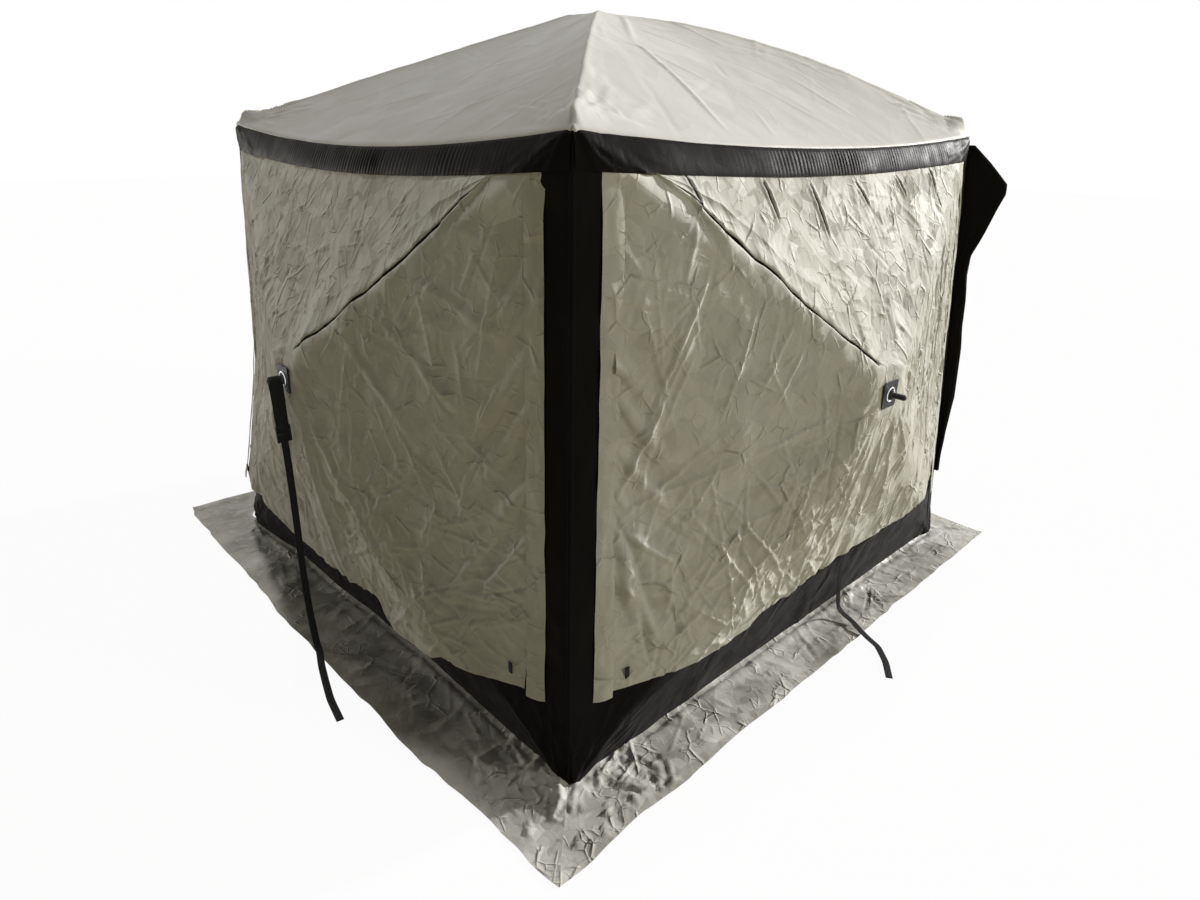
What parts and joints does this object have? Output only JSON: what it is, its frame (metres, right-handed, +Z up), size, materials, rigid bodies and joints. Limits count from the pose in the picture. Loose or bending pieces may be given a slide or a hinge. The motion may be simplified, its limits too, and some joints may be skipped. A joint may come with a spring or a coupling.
{
  "type": "screen tent",
  "caption": "Pop-up screen room: square cloth tent with hubs pulled out in the walls and roof, silver wind panels over black mesh, ground skirt and a corner doorway.",
  "frame": {"origin": "on the ground at the middle of the tent", "axes": "+Z up, -Y out of the front wall that has the long strap, +X out of the wall to its right"},
  "size_m": [3.0377, 3.0045, 2.2018],
  "materials": {
    "black_cloth": "black coated polyester, satin",
    "black_mesh": "fine black insect mesh, matt",
    "fibreglass": "black pultruded fibreglass with sleeved ends",
    "moulded_black": "black moulded nylon, fine texture",
    "silver_cloth": "thin silver coated polyester, semi-gloss, creased",
    "webbing": "black woven polypropylene webbing",
    "zip_metal": "die-cast zip slider, grey"
  },
  "bodies": {
    "cloth_and_boots": {"back_border": "black_cloth", "back_right_bottom_boot": "moulded_black", "back_right_top_boot": "moulded_black", "back_screen": "black_mesh", "back_skirt": "silver_cloth", "canopy": "silver_cloth", "door_leaf": "black_cloth", "front_border": "black_cloth", "front_right_bottom_boot": "moulded_black", "front_right_top_boot": "moulded_black", "front_screen": "black_mesh", "front_skirt": "silver_cloth", "front_wind_panel": "silver_cloth", "left_border": "black_cloth", "left_right_bottom_boot": "moulded_black", "left_right_top_boot": "moulded_black", "left_screen": "black_mesh", "left_skirt": "silver_cloth", "left_wind_panel": "silver_cloth", "right_border": "black_cloth", "right_right_bottom_boot": "moulded_black", "right_right_top_boot": "moulded_black", "right_screen": "black_mesh", "right_skirt": "silver_cloth", "right_strap": "webbing", "right_wind_panel": "silver_cloth"},
    "front_hub": {"front_hub": "moulded_black", "front_hub_plate": "moulded_black", "front_strap": "webbing", "front_buckle": "moulded_black"},
    "front_pole_top_right": {"front_pole_top_right": "fibreglass"},
    "front_pole_top_left": {"front_pole_top_left": "fibreglass"},
    "front_pole_bottom_right": {"front_pole_bottom_right": "fibreglass"},
    "front_pole_bottom_left": {"front_pole_bottom_left": "fibreglass"},
    "right_hub": {"right_hub": "moulded_black", "right_hub_plate": "moulded_black"},
    "right_pole_top_right": {"right_pole_top_right": "fibreglass"},
    "right_pole_top_left": {"right_pole_top_left": "fibreglass"},
    "right_pole_bottom_right": {"right_pole_bottom_right": "fibreglass"},
    "right_pole_bottom_left": {"right_pole_bottom_left": "fibreglass"},
    "back_hub": {"back_hub": "moulded_black", "back_hub_plate": "moulded_black"},
    "back_pole_top_right": {"back_pole_top_right": "fibreglass"},
    "back_pole_top_left": {"back_pole_top_left": "fibreglass"},
    "back_pole_bottom_right": {"back_pole_bottom_right": "fibreglass"},
    "back_pole_bottom_left": {"back_pole_bottom_left": "fibreglass"},
    "left_hub": {"left_hub": "moulded_black", "left_hub_plate": "moulded_black"},
    "left_pole_top_right": {"left_pole_top_right": "fibreglass"},
    "left_pole_top_left": {"left_pole_top_left": "fibreglass"},
    "left_pole_bottom_right": {"left_pole_bottom_right": "fibreglass"},
    "left_pole_bottom_left": {"left_pole_bottom_left": "fibreglass"},
    "roof_hub": {"roof_hub": "moulded_black"},
    "roof_pole_front_right": {"roof_pole_front_right": "fibreglass"},
    "roof_pole_back_right": {"roof_pole_back_right": "fibreglass"},
    "roof_pole_back_left": {"roof_pole_back_left": "fibreglass"},
    "roof_pole_front_left": {"roof_pole_front_left": "fibreglass"},
    "door_zip_slider": {"door_zip_slider": "zip_metal"}
  },
  "joints": [
    {"name": "front_hub_slide", "type": "slide", "parent": "cloth_and_boots", "child": "front_hub", "axis": [0, 0.9978, -0.0665], "range_m": [0, 0.2983], "deforming": ["front_border", "front_screen", "front_wind_panel", "front_strap"]},
    {"name": "front_pole_top_right_hinge", "type": "hinge", "parent": "front_hub", "child": "front_pole_top_right", "pos_m": [0.02652, -1.377, 1.04879], "axis": [0.5949, -0.0535, -0.802], "range_deg": [0, 13.45]},
    {"name": "front_pole_top_left_hinge", "type": "hinge", "parent": "front_hub", "child": "front_pole_top_left", "pos_m": [-0.02652, -1.377, 1.04879], "axis": [0.5949, 0.0535, 0.802], "range_deg": [0, 13.45]},
    {"name": "front_pole_bottom_right_hinge", "type": "hinge", "parent": "front_hub", "child": "front_pole_bottom_right", "pos_m": [0.02502, -1.37974, 1.00774], "axis": [-0.6519, -0.0504, -0.7566], "range_deg": [0, 11.41]},
    {"name": "front_pole_bottom_left_hinge", "type": "hinge", "parent": "front_hub", "child": "front_pole_bottom_left", "pos_m": [-0.02502, -1.37974, 1.00774], "axis": [-0.6519, 0.0504, 0.7566], "range_deg": [0, 11.41]},
    {"name": "right_hub_slide", "type": "slide", "parent": "cloth_and_boots", "child": "right_hub", "axis": [-0.9978, 0, -0.0665], "range_m": [0, 0.2983], "deforming": ["right_border", "right_screen", "right_wind_panel"]},
    {"name": "right_pole_top_right_hinge", "type": "hinge", "parent": "right_hub", "child": "right_pole_top_right", "pos_m": [1.377, 0.02652, 1.04879], "axis": [0.0535, 0.5949, -0.802], "range_deg": [0, 13.45]},
    {"name": "right_pole_top_left_hinge", "type": "hinge", "parent": "right_hub", "child": "right_pole_top_left", "pos_m": [1.377, -0.02652, 1.04879], "axis": [-0.0535, 0.5949, 0.802], "range_deg": [0, 13.45]},
    {"name": "right_pole_bottom_right_hinge", "type": "hinge", "parent": "right_hub", "child": "right_pole_bottom_right", "pos_m": [1.37974, 0.02502, 1.00774], "axis": [0.0504, -0.6519, -0.7566], "range_deg": [0, 11.41]},
    {"name": "right_pole_bottom_left_hinge", "type": "hinge", "parent": "right_hub", "child": "right_pole_bottom_left", "pos_m": [1.37974, -0.02502, 1.00774], "axis": [-0.0504, -0.6519, 0.7566], "range_deg": [0, 11.41]},
    {"name": "back_hub_slide", "type": "slide", "parent": "cloth_and_boots", "child": "back_hub", "axis": [0, -0.9978, -0.0665], "range_m": [0, 0.2983], "deforming": ["back_border", "back_screen"]},
    {"name": "back_pole_top_right_hinge", "type": "hinge", "parent": "back_hub", "child": "back_pole_top_right", "pos_m": [-0.02652, 1.377, 1.04879], "axis": [-0.5949, 0.0535, -0.802], "range_deg": [0, 13.45]},
    {"name": "back_pole_top_left_hinge", "type": "hinge", "parent": "back_hub", "child": "back_pole_top_left", "pos_m": [0.02652, 1.377, 1.04879], "axis": [-0.5949, -0.0535, 0.802], "range_deg": [0, 13.45]},
    {"name": "back_pole_bottom_right_hinge", "type": "hinge", "parent": "back_hub", "child": "back_pole_bottom_right", "pos_m": [-0.02502, 1.37974, 1.00774], "axis": [0.6519, 0.0504, -0.7566], "range_deg": [0, 11.41]},
    {"name": "back_pole_bottom_left_hinge", "type": "hinge", "parent": "back_hub", "child": "back_pole_bottom_left", "pos_m": [0.02502, 1.37974, 1.00774], "axis": [0.6519, -0.0504, 0.7566], "range_deg": [0, 11.41]},
    {"name": "left_hub_slide", "type": "slide", "parent": "cloth_and_boots", "child": "left_hub", "axis": [0.9978, 0, -0.0665], "range_m": [0, 0.2983], "deforming": ["left_border", "left_screen", "left_wind_panel"]},
    {"name": "left_pole_top_right_hinge", "type": "hinge", "parent": "left_hub", "child": "left_pole_top_right", "pos_m": [-1.377, -0.02652, 1.04879], "axis": [-0.0535, -0.5949, -0.802], "range_deg": [0, 13.45]},
    {"name": "left_pole_top_left_hinge", "type": "hinge", "parent": "left_hub", "child": "left_pole_top_left", "pos_m": [-1.377, 0.02652, 1.04879], "axis": [0.0535, -0.5949, 0.802], "range_deg": [0, 13.45]},
    {"name": "left_pole_bottom_right_hinge", "type": "hinge", "parent": "left_hub", "child": "left_pole_bottom_right", "pos_m": [-1.37974, -0.02502, 1.00774], "axis": [-0.0504, 0.6519, -0.7566], "range_deg": [0, 11.41]},
    {"name": "left_pole_bottom_left_hinge", "type": "hinge", "parent": "left_hub", "child": "left_pole_bottom_left", "pos_m": [-1.37974, 0.02502, 1.00774], "axis": [0.0504, 0.6519, 0.7566], "range_deg": [0, 11.41]},
    {"name": "roof_hub_slide", "type": "slide", "parent": "cloth_and_boots", "child": "roof_hub", "axis": [0, 0, -1], "range_m": [0, 0.418], "deforming": ["canopy"]},
    {"name": "roof_pole_front_right_hinge", "type": "hinge", "parent": "roof_hub", "child": "roof_pole_front_right", "pos_m": [0.02334, -0.02334, 2.188], "axis": [-0.7071, -0.7071, 0], "range_deg": [0, 16.37]},
    {"name": "roof_pole_back_right_hinge", "type": "hinge", "parent": "roof_hub", "child": "roof_pole_back_right", "pos_m": [0.02334, 0.02334, 2.188], "axis": [0.7071, -0.7071, 0], "range_deg": [0, 16.37]},
    {"name": "roof_pole_back_left_hinge", "type": "hinge", "parent": "roof_hub", "child": "roof_pole_back_left", "pos_m": [-0.02334, 0.02334, 2.188], "axis": [0.7071, 0.7071, 0], "range_deg": [0, 16.37]},
    {"name": "roof_pole_front_left_hinge", "type": "hinge", "parent": "roof_hub", "child": "roof_pole_front_left", "pos_m": [-0.02334, -0.02334, 2.188], "axis": [-0.7071, 0.7071, 0], "range_deg": [0, 16.37]},
    {"name": "door_zip_slide", "type": "slide", "parent": "cloth_and_boots", "child": "door_zip_slider", "axis": [0, -0.0852, 0.9964], "range_m": [0, 0.5759]}
  ],
  "couplings": [
    {"joint": "front_pole_top_right_hinge", "follows": "front_hub_slide", "rad_per_m": 0.78627},
    {"joint": "front_pole_top_left_hinge", "follows": "front_hub_slide", "rad_per_m": 0.78627},
    {"joint": "front_pole_bottom_right_hinge", "follows": "front_hub_slide", "rad_per_m": 0.66732},
    {"joint": "front_pole_bottom_left_hinge", "follows": "front_hub_slide", "rad_per_m": 0.66732},
    {"joint": "right_pole_top_right_hinge", "follows": "right_hub_slide", "rad_per_m": 0.78627},
    {"joint": "right_pole_top_left_hinge", "follows": "right_hub_slide", "rad_per_m": 0.78627},
    {"joint": "right_pole_bottom_right_hinge", "follows": "right_hub_slide", "rad_per_m": 0.66732},
    {"joint": "right_pole_bottom_left_hinge", "follows": "right_hub_slide", "rad_per_m": 0.66732},
    {"joint": "back_pole_top_right_hinge", "follows": "back_hub_slide", "rad_per_m": 0.78627},
    {"joint": "back_pole_top_left_hinge", "follows": "back_hub_slide", "rad_per_m": 0.78627},
    {"joint": "back_pole_bottom_right_hinge", "follows": "back_hub_slide", "rad_per_m": 0.66732},
    {"joint": "back_pole_bottom_left_hinge", "follows": "back_hub_slide", "rad_per_m": 0.66732},
    {"joint": "left_pole_top_right_hinge", "follows": "left_hub_slide", "rad_per_m": 0.78627},
    {"joint": "left_pole_top_left_hinge", "follows": "left_hub_slide", "rad_per_m": 0.78627},
    {"joint": "left_pole_bottom_right_hinge", "follows": "left_hub_slide", "rad_per_m": 0.66732},
    {"joint": "left_pole_bottom_left_hinge", "follows": "left_hub_slide", "rad_per_m": 0.66732},
    {"joint": "roof_pole_front_right_hinge", "follows": "roof_hub_slide", "rad_per_m": 0.68322},
    {"joint": "roof_pole_back_right_hinge", "follows": "roof_hub_slide", "rad_per_m": 0.68322},
    {"joint": "roof_pole_back_left_hinge", "follows": "roof_hub_slide", "rad_per_m": 0.68322},
    {"joint": "roof_pole_front_left_hinge", "follows": "roof_hub_slide", "rad_per_m": 0.68322}
  ]
}
